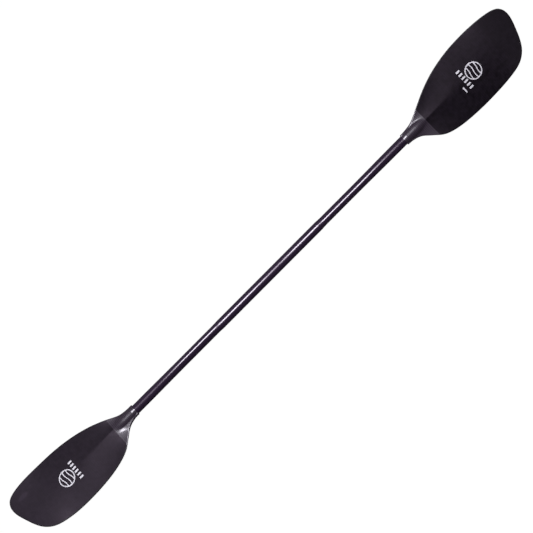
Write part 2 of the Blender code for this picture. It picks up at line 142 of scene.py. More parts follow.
# Camera, in the paddle's own axes: rolled and pitched away from straight above the power faces
CAMERA_ROLL = radians(7.13)
CAMERA_PITCH = radians(-1.61)
CAMERA_TURN = radians(45.12)    # how far the shaft rises across the picture
CAMERA_DISTANCE = 5.255
CAMERA_SHIFT = (-0.0081, 0.0246)
CAMERA_LENS = 126.7

# Light
FLOOR_GLOW = 1.0
SOFTBOX_ACROSS = 0.78
SOFTBOX_HEIGHT = 2.0
SOFTBOX_WIDTH = 0.85
SOFTBOX_RADIANCE = 23.5
SOFTBOX_COLOUR = (0.94, 0.91, 1.0)
# Each softbox: its place along the shaft, the share of it that is even, and its length
SOFTBOXES = {"softbox_right": (0.241, 0.63, 0.652), "softbox_left": (-0.405, 0.40, 0.730)}
FILL_ACROSS = 0.85              # the fill comes from across the shaft
FILL_ALONG = -0.53              # and from its left end
FILL_FALL_OFF = 3.5
FILL_STRENGTH = 1.6
FILL_LEAST = 0.04
BACKDROP = 0.9
FLOOR_HALF_SIZE = 20.0
FLOOR_COLOUR = (0.86, 0.86, 0.86, 1.0)


# ---------------------------------------------------------------- shapes

def smooth_step(low, high, value):
    share = min(max((value - low) / (high - low), 0.0), 1.0)
    return share * share * (3.0 - 2.0 * share)


def smooth_max(one, other, fillet):
    return (one + other + hypot(one - other, fillet)) / 2.0


def hermite(p0, p1, m0, m1, share):
    square = share * share
    cube = square * share
    return ((2 * cube - 3 * square + 1) * p0 + (cube - 2 * square + share) * m0
            + (3 * square - 2 * cube) * p1 + (cube - square) * m1)


def curve_value(keys, where):
    """Smooth curve through (place, value) keys, level at both ends."""
    where = min(max(where, keys[0][0]), keys[-1][0])
    last = len(keys) - 1
    index = max(i for i in range(last) if keys[i][0] <= where)

    def slope(i):
        if i in (0, last):
            return 0.0
        return (keys[i + 1][1] - keys[i - 1][1]) / (keys[i + 1][0] - keys[i - 1][0])

    (start, low), (end, high) = keys[index], keys[index + 1]
    span = end - start
    return hermite(low, high, slope(index) * span, slope(index + 1) * span, (where - start) / span)


def spline(points, steps=60, start_way=(1.0, 0.0), end_way=(0.0, 1.0)):
    """Smooth line through (x, t) points, with the ways it starts and ends."""
    last = len(points) - 1

    def way(i):
        if i in (0, last):
            other = points[1] if i == 0 else points[last - 1]
            length = hypot(points[i][0] - other[0], points[i][1] - other[1])
            unit = start_way if i == 0 else end_way
            return unit[0] * length, unit[1] * length
        before, here, after = points[i - 1], points[i], points[i + 1]
        back = hypot(here[0] - before[0], here[1] - before[1])
        on = hypot(after[0] - here[0], after[1] - here[1])
        scale = 1.0 / (back + on)
        return (after[0] - before[0]) * scale, (after[1] - before[1]) * scale

    line = []
    for i in range(last):
        length = hypot(points[i + 1][0] - points[i][0], points[i + 1][1] - points[i][1])
        ways = []
        for end in (i, i + 1):
            way_x, way_t = way(end)
            if end not in (0, last):
                way_x, way_t = way_x * length, way_t * length
            ways.append((way_x, way_t))
        for step in range(steps):
            line.append(tuple(hermite(points[i][axis], points[i + 1][axis], ways[0][axis], ways[1][axis],
                                      step / steps) for axis in (0, 1)))
    line.append(points[last])
    return line


def cut_line(line, x_start):
    """The part of a line beyond x_start, beginning exactly there."""
    first = next(i for i, point in enumerate(line) if point[0] > x_start)
    (x0, t0), (x1, t1) = line[first - 1], line[first]
    share = (x_start - x0) / (x1 - x0)
    return [(x_start, t0 + (t1 - t0) * share)] + line[first:]


def even_points(line, count, ease=1.5):
    """count + 1 points along a line, closer together towards its end, each with the line's direction."""
    lengths = [0.0]
    for (x0, t0), (x1, t1) in zip(line, line[1:]):
        lengths.append(lengths[-1] + hypot(x1 - x0, t1 - t0))
    points = []
    index = 0
    for step in range(count + 1):
        wanted = lengths[-1] * (1.0 - (1.0 - step / count) ** ease)
        while index < len(lengths) - 2 and lengths[index + 1] < wanted:
            index += 1
        run = lengths[index + 1] - lengths[index]
        share = (wanted - lengths[index]) / run
        (x0, t0), (x1, t1) = line[index], line[index + 1]
        points.append((x0 + (x1 - x0) * share, t0 + (t1 - t0) * share, (x1 - x0) / run, (t1 - t0) / run))
    return points


EDGES = {"short": spline(SHORT_EDGE), "long": spline(LONG_EDGE, end_way=(0.0, -1.0))}


def inset_edge(name, distance):
    """Row ends along one edge of the blade beyond the neck, moved into the blade by distance."""
    into = 1.0 if name == "short" else -1.0
    points = even_points(cut_line(EDGES[name], NECK_END + SEAM), BLADE_ROWS)
    x, t, way_x, _ = points[0]
    moved = [(x, t + into * distance / way_x)]
    moved += [(x - into * way_t * distance, t + into * way_x * distance)
              for x, t, way_x, way_t in points[1:-1]]
    return moved + [(TIP[0] - distance, TIP[1])]


def blade_share(x):
    return (x - NECK_START) / (HALF_LENGTH - NECK_START)


def cross_share(x, t):
    """How far towards an edge a point is: 0 on the spine, 1 at the edge."""
    side = "long" if t > 0 else "short"
    return abs(t) / curve_value(SHAPING_HALF_WIDTH[side], blade_share(x))


def half_thickness(x, t):
    centre = curve_value(HALF_THICKNESS, blade_share(x))
    return RIM_HALF_HEIGHT + (centre - RIM_HALF_HEIGHT) * max(1.0 - cross_share(x, t) ** 2, 0.0)


def plate_face(x, t):
    """Power face of the blade alone: a ridge down the middle with a hollow flank each side."""
    share = blade_share(x)
    across = min(cross_share(x, t), 1.0)
    spine = curve_value(SPINE_HEIGHT, share)
    edge = curve_value(EDGE_HEIGHT, share) + RIM_HALF_HEIGHT
    softness = curve_value(RIDGE_SOFTNESS, share)
    from_ridge = hypot(across, softness) - softness
    hollow = 4.0 * curve_value(FLANK_DIP, share) * from_ridge * (1.0 - across)
    return spine + (edge - spine) * across ** 2 - hollow


def neck_radius(x):
    return NECK_RADIUS - COLLAR_STEP * (1.0 - smooth_step(NECK_START, NECK_START + COLLAR_LENGTH, x))


def tube_bulge(t, radius, sink):
    if abs(t) < radius:
        return sqrt(radius ** 2 - t ** 2) - sink
    return BULGE_SLOPE * (radius - abs(t)) - sink


def nose_bulge(x, t):
    """The tube's bulge on the power face, which ends in a bullet nose."""
    share = min(max((x - NOSE_START) / (NOSE_END - NOSE_START), 0.0), 1.0)
    return tube_bulge(t, neck_radius(x) * sqrt(1.0 - share ** 2), NOSE_SLOPE * max(x - NOSE_END, 0.0))


def fillet_size(x):
    return FILLET_LEAST + FILLET * smooth_step(NECK_START, NECK_START + FILLET_LENGTH, x)


def power_face(x, t):
    return smooth_max(nose_bulge(x, t), plate_face(x, t), fillet_size(x))


def back_face(x, t):
    plate = plate_face(x, t) - 2.0 * half_thickness(x, t)
    sink = SPINE_SINK * max(x - NECK_END, 0.0)
    return -smooth_max(tube_bulge(t, neck_radius(x), sink), -plate, fillet_size(x))


def inside(height, depth, way):
    """The surface that lies depth squarely inside height(x, t); way is -1 to go down and 1 to go up."""
    step = 0.001

    def surface(x, t):
        slope_x = (height(x + step, t) - height(x - step, t)) / (2.0 * step)
        slope_t = (height(x, t + step) - height(x, t - step)) / (2.0 * step)
        return height(x, t) + way * depth * sqrt(1.0 + slope_x ** 2 + slope_t ** 2)

    return surface


# ---------------------------------------------------------------- pieces

def finish_piece(name, bm, matrix, material, nodes):
    """Mesh to object: faces out, smooth, in its place, riding on the paddle instead of CAD nodes."""
    bmesh.ops.recalc_face_normals(bm, faces=bm.faces)
    mesh = bpy.data.meshes.new(name)
    bm.to_mesh(mesh)
    bm.free()
    mesh.transform(matrix)
    mesh.shade_smooth()
    mesh.set_sharp_from_angle(angle=CREASE)
    mesh.materials.append(material)
    piece = bpy.data.objects.new(name, mesh)
    bpy.context.scene.collection.objects.link(piece)
    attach(piece, "root")
    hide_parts(*nodes)


def bridge(bm, ring, next_ring, closed=True):
    count = len(ring)
    for i in range(count if closed else count - 1):
        j = (i + 1) % count
        bm.faces.new((ring[i], ring[j], next_ring[j], next_ring[i]))


def map_flat(bm, side):
    """Place map straight from blade coordinates."""
    layer = bm.loops.layers.uv.new("place")
    for face in bm.faces:
        for loop in face.loops:
            loop[layer].uv = (side * loop.vert.co.x, loop.vert.co.y)


def map_rings(bm, rings):
    """Place map round a tube: its length, and the way round it from the top, with the seam underneath."""
    layer = bm.loops.layers.uv.new("place")
    place = {}
    for ring in rings:
        points = [vertex.co for vertex in ring]
        count = len(points)
        start = count // 4
        round_it = 0.0
        places = []
        for step in range(count):
            here = points[(start + step) % count]
            places.append(((start + step) % count, round_it))
            round_it += (points[(start + step + 1) % count] - here).length
        for index, distance in places:
            past_seam = (index - start) % count > count // 2
            across = distance - round_it if past_seam else distance
            place[ring[index]] = (abs(points[index].x), across, round_it)
    for face in bm.faces:
        known = [place.get(loop.vert, (abs(loop.vert.co.x), loop.vert.co.y, 1.0)) for loop in face.loops]
        wraps = max(where[1] for where in known) - min(where[1] for where in known) > known[0][2] / 2
        for loop, (along, across, total) in zip(face.loops, known):
            loop[layer].uv = (along, across + total if wraps and across < 0 else across)


def blade_grid(height, distance):
    """Rows of points over the blade inside its rim, at height(x, t), with one column on the ridge."""
    short, long = (inset_edge(name, distance) for name in ("short", "long"))
    half = BLADE_COLUMNS // 2
    rows = []
    for (x0, t0), (x1, t1) in zip(short[:-1], long[:-1]):
        ridge = min(max(-t0 / (t1 - t0), RIDGE_SHARE[0]), RIDGE_SHARE[1])
        row = []
        for column in range(BLADE_COLUMNS + 1):
            from_ridge = (column - half) / half
            crowded = sin(pi / 2 * abs(from_ridge)) ** 2
            reach = (abs(from_ridge) + crowded) / 2.0
            share = ridge + reach * ((1.0 - ridge) if from_ridge > 0 else -ridge)
            x = x0 + (x1 - x0) * share
            t = t0 + (t1 - t0) * share
            row.append((x, t, height(x, t)))
        rows.append(row)
    tip = short[-1]
    return rows, (tip[0], tip[1], height(*tip))


def surface_faces(bm, rows, tip, side):
    """Open sheet over a grid of rows that closes to a point at the tip."""
    loops = [[bm.verts.new((side * x, t, z)) for x, t, z in row] for row in rows]
    for one, other in zip(loops, loops[1:]):
        bridge(bm, one, other, closed=False)
    point = bm.verts.new((side * tip[0], tip[1], tip[2]))
    for left, right in zip(loops[-1], loops[-1][1:]):
        bm.faces.new((left, right, point))
    border = [row[0] for row in loops] + [point] + [row[-1] for row in reversed(loops)]
    return border + list(reversed(loops[0][1:-1]))


def make_skin(prefix, part_name, upper, lower, material):
    side, matrix = SIDES[prefix]
    bm = bmesh.new()
    borders = [surface_faces(bm, *blade_grid(height, RIM_WIDTH + SEAM), side) for height in (upper, lower)]
    bridge(bm, *borders)
    map_flat(bm, side)
    node = f"{prefix}_{part_name}"
    finish_piece(f"{node}_laminate", bm, matrix, material, [node])


def rim_middle(x, t):
    return power_face(x, t) - RIM_HALF_HEIGHT


def make_rim(prefix, material):
    """D-shaped bead round the blade's edge."""
    side, matrix = SIDES[prefix]
    bm = bmesh.new()
    outer, inner = (inset_edge("short", depth) + list(reversed(inset_edge("long", depth)[:-1]))
                    for depth in (RIM_TRIM, RIM_WIDTH))
    rings = []
    for (x, t), (inner_x, inner_t) in zip(outer, inner):
        middle = rim_middle(inner_x, inner_t)
        ring = []
        for step in range(RIM_STEPS + 1):
            angle = pi / 2 - pi * step / RIM_STEPS
            out = cos(angle)
            place = (side * (inner_x + (x - inner_x) * out), inner_t + (t - inner_t) * out,
                     middle + (RIM_HALF_HEIGHT - RIM_TRIM) * sin(angle))
            ring.append(bm.verts.new(place))
        rings.append(ring)
    for one, other in zip(rings, rings[1:]):
        bridge(bm, one, other)
    bm.faces.new(rings[0])
    bm.faces.new(rings[-1])
    map_flat(bm, side)
    finish_piece(f"{prefix}_rim_bead", bm, matrix, material, [f"{prefix}_edge_rim"])


def edge_at(line, x):
    """The line's t at x, and the cosine of its slant there."""
    first = next(i for i, point in enumerate(line) if point[0] > x or i == len(line) - 1)
    (x0, t0), (x1, t1) = line[first - 1], line[first]
    slant = (x1 - x0) / hypot(x1 - x0, t1 - t0)
    return t0 + (t1 - t0) * (x - x0) / (x1 - x0), slant


def neck_ring(x, side):
    """Section of the neck: a circle at the collar that flattens out into the blade."""
    (low, low_slant), (high, high_slant) = (edge_at(EDGES[name], x) for name in ("short", "long"))
    ring = []
    for step in range(NECK_SIDES):
        angle = 2.0 * pi * (step + 0.5) / NECK_SIDES
        t = (high + low) / 2.0 + (high - low) / 2.0 * cos(angle)
        slant = high_slant if t > 0 else low_slant
        from_edge = min(high - t, t - low) * slant / RIM_WIDTH
        rounding = sqrt(1.0 - max(1.0 - from_edge, 0.0) ** 2)
        top, bottom = power_face(x, t), back_face(x, t)
        flat = smooth_step(NECK_START, NECK_START + ROUNDING_LENGTH, x)
        rounding = 1.0 - (1.0 - rounding) * flat
        middle = (top + bottom) / 2.0
        half = (top - bottom) / 2.0 * rounding
        ring.append((side * x, t, middle + half * (1.0 if angle < pi else -1.0)))
    return ring


def circle_ring(x, radius, side):
    angles = [2.0 * pi * (step + 0.5) / NECK_SIDES for step in range(NECK_SIDES)]
    return [(side * x, radius * cos(angle), radius * sin(angle)) for angle in angles]


def make_neck(prefix, material):
    """Moulded neck with the socket that takes the tube."""
    side, matrix = SIDES[prefix]
    bm = bmesh.new()
    length = NECK_END - NECK_START
    places = [NECK_START + length * station / NECK_STATIONS for station in range(NECK_STATIONS + 1)]
    outside = [[bm.verts.new(point) for point in neck_ring(x, side)] for x in places]
    socket = [[bm.verts.new(point) for point in circle_ring(x, SHAFT_RADIUS + SEAM, side)]
              for x in (NECK_START, SHAFT_HALF_LENGTH + SEAM)]
    for one, other in zip(outside, outside[1:]):
        bridge(bm, one, other)
    bridge(bm, *socket)
    bridge(bm, outside[0], socket[0])
    bm.faces.new(outside[-1])
    bm.faces.new(socket[-1])
    map_rings(bm, outside + socket)
    finish_piece(f"{prefix}_neck_overwrap", bm, matrix, material, [f"{prefix}_neck"])


def grip_amount(x):
    """1 where the shaft is fully oval, 0 where it is round."""
    return smooth_step(*GRIP_START, abs(x)) * (1.0 - smooth_step(*GRIP_FADE, abs(x)))


def tube_ring(x, wall):
    amount = grip_amount(x)
    across = SHAFT_RADIUS + (GRIP_ACROSS - SHAFT_RADIUS) * amount - wall
    through = SHAFT_RADIUS + (GRIP_THROUGH - SHAFT_RADIUS) * amount - wall
    turn = -FEATHER if x < 0 else 0.0
    ring = []
    for step in range(SHAFT_SIDES):
        angle = 2.0 * pi * step / SHAFT_SIDES
        y, z = across * cos(angle - turn), through * sin(angle - turn)
        ring.append((x, y * cos(turn) - z * sin(turn), y * sin(turn) + z * cos(turn)))
    return ring


def make_shaft(material):
    bm = bmesh.new()
    stations = [SHAFT_HALF_LENGTH * (2.0 * step / SHAFT_STATIONS - 1.0) for step in range(SHAFT_STATIONS + 1)]
    walls = []
    for wall in (0.0, SHAFT_WALL):
        loops = [[bm.verts.new(point) for point in tube_ring(x, wall)] for x in stations]
        for one, other in zip(loops, loops[1:]):
            bridge(bm, one, other)
        walls.append(loops)
    for end in (0, -1):
        bridge(bm, walls[0][end], walls[1][end])
    map_rings(bm, walls[0] + walls[1])
    finish_piece("shaft", bm, REST, material, ["shaft_tube"])


def circle_points(x, t, radius, count):
    angles = [2 * pi * index / count for index in range(count)]
    return [(x + radius * cos(angle), t + radius * sin(angle)) for angle in angles]


def emblem_window(low, high):
    """The opening between two waves, inside the ring."""
    inner = EMBLEM_RADIUS - EMBLEM_RING
    near, far = [], []
    for step in range(WAVE_STEPS + 1):
        t = inner * (2.0 * step / WAVE_STEPS - 1.0)
        reach = sqrt(max(inner ** 2 - t ** 2, 0.0))
        wave = WAVE_HEIGHT * sin(pi * t / EMBLEM_RADIUS)
        bottom = max(low + wave, -reach)
        top = min(high + wave, reach)
        if top - bottom > WINDOW_LEAST:
            near.append((EMBLEM_X + bottom, t))
            far.append((EMBLEM_X + top, t))
    return near + list(reversed(far))


def emblem_outlines():
    """A ring crossed by waves: its rim, and the windows left open between the waves."""
    pitch = 2.0 * EMBLEM_RADIUS / (EMBLEM_WAVES + 1)
    levels = [-EMBLEM_RADIUS + pitch * index for index in range(EMBLEM_WAVES + 2)]
    windows = [emblem_window(low + WAVE_BAND / 2, high - WAVE_BAND / 2)
               for low, high in zip(levels, levels[1:])]
    return [circle_points(EMBLEM_X, 0.0, EMBLEM_RADIUS, EMBLEM_SIDES)] + windows


def box_outline(x, t, depth, length):
    corners = ((-1, -1), (1, -1), (1, 1), (-1, 1))
    return [(x + depth / 2 * along, t + length / 2 * across) for along, across in corners]


def label_outlines():
    """A row of plain blocks."""
    block = (LABEL_LENGTH - LABEL_SPACE * (LABEL_BLOCKS - 1)) / LABEL_BLOCKS
    first = (block - LABEL_LENGTH) / 2
    return [box_outline(LABEL_X, first + index * (block + LABEL_SPACE), LABEL_DEPTH, block)
            for index in range(LABEL_BLOCKS)]


def cut_into_cells(bm, axis):
    """Cuts a flat mesh across one axis at every cell's width."""
    reach = [vertex.co[axis] for vertex in bm.verts]
    way = Vector((1.0, 0.0, 0.0)) if axis == 0 else Vector((0.0, 1.0, 0.0))
    cuts = int((max(reach) - min(reach)) / MARK_CELL)
    for cut in range(1, cuts + 1):
        everything = bm.verts[:] + bm.edges[:] + bm.faces[:]
        place = way * (min(reach) + cut * MARK_CELL)
        bmesh.ops.bisect_plane(bm, geom=everything, plane_co=place, plane_no=way)


def make_mark(prefix, mark, outlines, material):
    """Flat outline, extruded, cut into small cells and then laid on the power face."""
    side, matrix = SIDES[prefix]
    curve = bpy.data.curves.new(mark, 'CURVE')
    curve.dimensions = '2D'
    curve.fill_mode = 'BOTH'
    curve.extrude = MARK_THICKNESS / 2
    for outline in outlines:
        loop = curve.splines.new('POLY')
        loop.points.add(len(outline) - 1)
        loop.use_cyclic_u = True
        for point, (x, t) in zip(loop.points, outline):
            point.co = (side * x, t, 0.0, 1.0)
    flat = bpy.data.objects.new(mark + "_outline", curve)
    bpy.context.scene.collection.objects.link(flat)
    mesh = bpy.data.meshes.new_from_object(flat.evaluated_get(bpy.context.evaluated_depsgraph_get()))
    bpy.data.objects.remove(flat, do_unlink=True)
    bm = bmesh.new()
    bm.from_mesh(mesh)
    bmesh.ops.remove_doubles(bm, verts=bm.verts, dist=1e-6)
    for axis in (0, 1):
        cut_into_cells(bm, axis)
    map_flat(bm, side)
    for vertex in bm.verts:
        vertex.co.z += power_face(side * vertex.co.x, vertex.co.y) + SEAM + MARK_THICKNESS / 2
    finish_piece(f"{prefix}_{mark}_print", bm, matrix, material, [f"{prefix}_{mark}"])


# ---------------------------------------------------------------- materials

NOISE_RANGE = (0.3, 0.7)        # noise seldom leaves this range
CLOTH_TURN = radians(45)
TWILL_REPEAT = 4.0              # tows before the pattern comes round again
CROWN_ACROSS = 3.0
CROWN_ALONG = 2.5
TOW_LEAST = 0.4                 # height of a tow where it dives under, as a share of its top
FIBRE_LENGTHWISE = 0.4
FIBRE_CROSSWISE = 9.0
NECK_DARK = (0.007, 0.005, 0.008)
NECK_LIGHT = (0.054, 0.040, 0.058)
WINDING_WIDTH = 0.006
WINDING_TURN = radians(38)
TAPE_WIDTH = 0.011
TAPE_TURN = radians(82)
SHAFT_DARK = (0.006, 0.0034, 0.0075)
SHAFT_LIGHT = (0.024, 0.0145, 0.031)
BLADE_SHEEN = (1.0, 0.85, 0.99, 1.0)
SHAFT_SHEEN = (1.0, 0.85, 1.0, 1.0)
RIM_DARK = (0.0035, 0.0028, 0.0042)
RIM_LIGHT = (0.0085, 0.0070, 0.0098)
RIM_NICK = (0.030, 0.027, 0.032)
FOAM_DARK = (0.62, 0.58, 0.46)
FOAM_LIGHT = (0.80, 0.77, 0.68)
PRINT_THIN = (0.60, 0.60, 0.62)
PRINT_FULL = (0.82, 0.82, 0.83)


def new_material(name):
    material = bpy.data.materials.new(name)
    material.use_nodes = True
    return material, material.node_tree, material.node_tree.nodes["Principled BSDF"]


def feed(tree, socket, value):
    if isinstance(value, bpy.types.NodeSocket):
        tree.links.new(value, socket)
    else:
        socket.default_value = value


def maths(tree, operation, *values):
    node = tree.nodes.new("ShaderNodeMath")
    node.operation = operation
    for socket, value in zip(node.inputs, values):
        feed(tree, socket, value)
    return node.outputs[0]


def pick(tree, share, low, high):
    """low where share is 0, high where it is 1."""
    node = tree.nodes.new("ShaderNodeMix")
    feed(tree, node.inputs[0], share)
    feed(tree, node.inputs[2], low)
    feed(tree, node.inputs[3], high)
    return node.outputs[0]


def tint(tree, share, low, high):
    """The same for colours."""
    node = tree.nodes.new("ShaderNodeMix")
    node.data_type = 'RGBA'
    feed(tree, node.inputs[0], share)
    feed(tree, node.inputs[6], (*low, 1.0) if isinstance(low, tuple) else low)
    feed(tree, node.inputs[7], (*high, 1.0) if isinstance(high, tuple) else high)
    return node.outputs[2]


def place_map(tree):
    node = tree.nodes.new("ShaderNodeUVMap")
    node.uv_map = "place"
    return node.outputs[0]


def spread(tree, where, scale, turn=0.0):
    """Where, turned and stretched."""
    node = tree.nodes.new("ShaderNodeMapping")
    feed(tree, node.inputs["Vector"], where)
    node.inputs["Rotation"].default_value = (0.0, 0.0, turn)
    node.inputs["Scale"].default_value = scale if isinstance(scale, tuple) else (scale, scale, scale)
    return node.outputs[0]


def noise(tree, where, scale=1.0, detail=3.0, roughness=0.5):
    node = tree.nodes.new("ShaderNodeTexNoise")
    feed(tree, node.inputs["Vector"], where)
    node.inputs["Scale"].default_value = scale
    node.inputs["Detail"].default_value = detail
    node.inputs["Roughness"].default_value = roughness
    return node.outputs["Fac"]


def stretch(tree, value, from_low, from_high, to_low=0.0, to_high=1.0):
    node = tree.nodes.new("ShaderNodeMapRange")
    feed(tree, node.inputs["Value"], value)
    for socket, number in zip(list(node.inputs)[1:5], (from_low, from_high, to_low, to_high)):
        socket.default_value = number
    return node.outputs[0]


def bump(tree, shader, height, depth, strength=1.0):
    node = tree.nodes.new("ShaderNodeBump")
    node.inputs["Strength"].default_value = strength
    node.inputs["Distance"].default_value = depth
    feed(tree, node.inputs["Height"], height)
    tree.links.new(node.outputs[0], shader.inputs["Normal"])


def twill(tree, where, tow, turn):
    """Cloth of 2 x 2 twill: 1 where a warp tow is on top, the cloth's height, and its fibres' streaks."""
    cloth = spread(tree, where, 1.0 / tow, turn)
    split = tree.nodes.new("ShaderNodeSeparateXYZ")
    tree.links.new(cloth, split.inputs[0])
    a, b = split.outputs[0], split.outputs[1]
    cell_a, cell_b = maths(tree, 'FLOOR', a), maths(tree, 'FLOOR', b)
    diagonal = maths(tree, 'FLOORED_MODULO', maths(tree, 'ADD', cell_a, cell_b), TWILL_REPEAT)
    over = maths(tree, 'LESS_THAN', diagonal, TWILL_REPEAT / 2.0)
    across = pick(tree, over, maths(tree, 'FRACT', a), maths(tree, 'FRACT', b))
    warp_run = maths(tree, 'FLOORED_MODULO', maths(tree, 'ADD', a, cell_b), TWILL_REPEAT)
    weft_run = maths(tree, 'FLOORED_MODULO', maths(tree, 'ADD', b, cell_a), TWILL_REPEAT)
    weft_run = maths(tree, 'SUBTRACT', weft_run, TWILL_REPEAT / 2.0)
    along = maths(tree, 'MULTIPLY', pick(tree, over, weft_run, warp_run), 0.5)

    def crown(share, flatness):
        off_centre = maths(tree, 'ABSOLUTE', maths(tree, 'MULTIPLY_ADD', share, 2.0, -1.0))
        return maths(tree, 'SUBTRACT', 1.0, maths(tree, 'POWER', off_centre, flatness))

    rise = maths(tree, 'MULTIPLY_ADD', crown(along, CROWN_ALONG), 1.0 - TOW_LEAST, TOW_LEAST)
    height = maths(tree, 'MULTIPLY', crown(across, CROWN_ACROSS), rise)
    lengthwise, crosswise = pick(tree, over, b, a), pick(tree, over, a, b)
    join = tree.nodes.new("ShaderNodeCombineXYZ")
    tree.links.new(maths(tree, 'MULTIPLY', lengthwise, FIBRE_LENGTHWISE), join.inputs[0])
    tree.links.new(maths(tree, 'MULTIPLY', crosswise, FIBRE_CROSSWISE), join.inputs[1])
    tree.links.new(over, join.inputs[2])
    fibres = noise(tree, join.outputs[0], 1.0, 2.0)
    return over, height, fibres


BLADE_TOW = 0.0021
NECK_TOW = 0.0017
BLADE_DARK = (0.0012, 0.0007, 0.0016)
BLADE_LIGHT = (0.0066, 0.0046, 0.0080)
# Pale tone that painted light and a painted highlight mix into the blade's colour
BLADE_PAINTED_LIGHT = (0.022, 0.017, 0.025)
SCRATCH = (0.035, 0.031, 0.038)
DARKER_TIP_START = 0.900                 # the right blade is darker and rougher past this point
PAINTED_HIGHLIGHT_SPOT = (0.935, 0.056)         # a painted highlight near the left tip
PAINTED_HIGHLIGHT_SIZE = (0.022, 0.009)


def blade_carbon(name, scuffed, painted_light=0.0, shine=0.28, darker_tip=False, painted_highlight=False):
    """Satin twill laminate.  It can be paled with painted light, more towards the tip, and given a painted
    highlight near the tip; shine sets how strongly it mirrors the lamps.
    """
    material, tree, shader = new_material(name)
    where = place_map(tree)
    over, height, fibres = twill(tree, where, BLADE_TOW, CLOTH_TURN)
    clouds = noise(tree, where, 22.0, 4.0, 0.6)
    streaks = stretch(tree, fibres, *NOISE_RANGE, 0.7, 1.25)
    tone = maths(tree, 'MULTIPLY', pick(tree, over, 0.35, 0.75), streaks)
    blotches = stretch(tree, noise(tree, where, 75.0, 3.0, 0.55), 0.35, 0.65, 0.1, 1.9)
    tone = maths(tree, 'MULTIPLY', tone, blotches)
    tone = maths(tree, 'MULTIPLY', tone, stretch(tree, clouds, *NOISE_RANGE, 0.8, 1.2))
    rough = stretch(tree, noise(tree, where, 60.0, 5.0, 0.65), *NOISE_RANGE, 0.44, 0.60)
    rough = maths(tree, 'ADD', rough, stretch(tree, clouds, *NOISE_RANGE, 0.035, -0.035))
    split = tree.nodes.new("ShaderNodeSeparateXYZ")
    tree.links.new(where, split.inputs[0])
    # The right blade is darker and rougher past a point near its tip
    if darker_tip:
        past = stretch(tree, split.outputs[0], DARKER_TIP_START, DARKER_TIP_START + 0.002)
        tone = maths(tree, 'MULTIPLY', tone, pick(tree, past, 1.0, 0.5))
        rough = maths(tree, 'ADD', rough, maths(tree, 'MULTIPLY', past, 0.07))
    colour = tint(tree, tone, BLADE_DARK, BLADE_LIGHT)
    # Painted light: the colour is paled in clouds, more towards the tip
    painted_pale = maths(tree, 'MULTIPLY', stretch(tree, clouds, *NOISE_RANGE, painted_light * 0.75, painted_light * 1.25),
                 stretch(tree, split.outputs[0], 0.65, 0.95, 0.55, 1.15))
    # Painted highlight: a pale oval spot near the tip
    if painted_highlight:
        offset = tree.nodes.new("ShaderNodeVectorMath")
        offset.operation = 'SUBTRACT'
        tree.links.new(where, offset.inputs[0])
        offset.inputs[1].default_value = (*PAINTED_HIGHLIGHT_SPOT, 0.0)
        length = tree.nodes.new("ShaderNodeVectorMath")
        length.operation = 'LENGTH'
        tree.links.new(spread(tree, offset.outputs[0], (1.0 / PAINTED_HIGHLIGHT_SIZE[0], 1.0 / PAINTED_HIGHLIGHT_SIZE[1], 0.0)),
                       length.inputs[0])
        painted_pale = maths(tree, 'ADD', painted_pale, stretch(tree, length.outputs["Value"], 0.0, 1.0, 1.2, 0.0))
    colour = tint(tree, painted_pale, colour, BLADE_PAINTED_LIGHT)
    scratches = noise(tree, spread(tree, where, (60.0, 900.0, 1.0), radians(12)), 1.0, 2.0)
    scratches = stretch(tree, scratches, 0.66, 0.74, 0.0, scuffed)
    colour = tint(tree, scratches, colour, SCRATCH)
    tree.links.new(colour, shader.inputs["Base Color"])
    tree.links.new(rough, shader.inputs["Roughness"])
    shader.inputs["Specular IOR Level"].default_value = shine
    shader.inputs["Specular Tint"].default_value = BLADE_SHEEN
    bump(tree, shader, height, 0.00006, 0.35)
    return material


def neck_carbon():
    """Glossy clear coat over fine twill."""
    material, tree, shader = new_material("gloss_neck_carbon")
    where = place_map(tree)
    over, height, fibres = twill(tree, where, NECK_TOW, CLOTH_TURN)
    streaks = stretch(tree, fibres, *NOISE_RANGE, 0.6, 1.3)
    tone = maths(tree, 'MULTIPLY', pick(tree, over, 0.25, 0.85), streaks)
    tree.links.new(tint(tree, tone, NECK_DARK, NECK_LIGHT), shader.inputs["Base Color"])
    tree.links.new(stretch(tree, height, 0.0, 1.0, 0.50, 0.36), shader.inputs["Roughness"])
    shader.inputs["Coat Weight"].default_value = 1.0
    shader.inputs["Coat Roughness"].default_value = 0.10
    ripple = noise(tree, where, 160.0, 3.0)
    bump(tree, shader, maths(tree, 'ADD', height, maths(tree, 'MULTIPLY', ripple, 2.0)), 0.00006, 0.5)
    return material


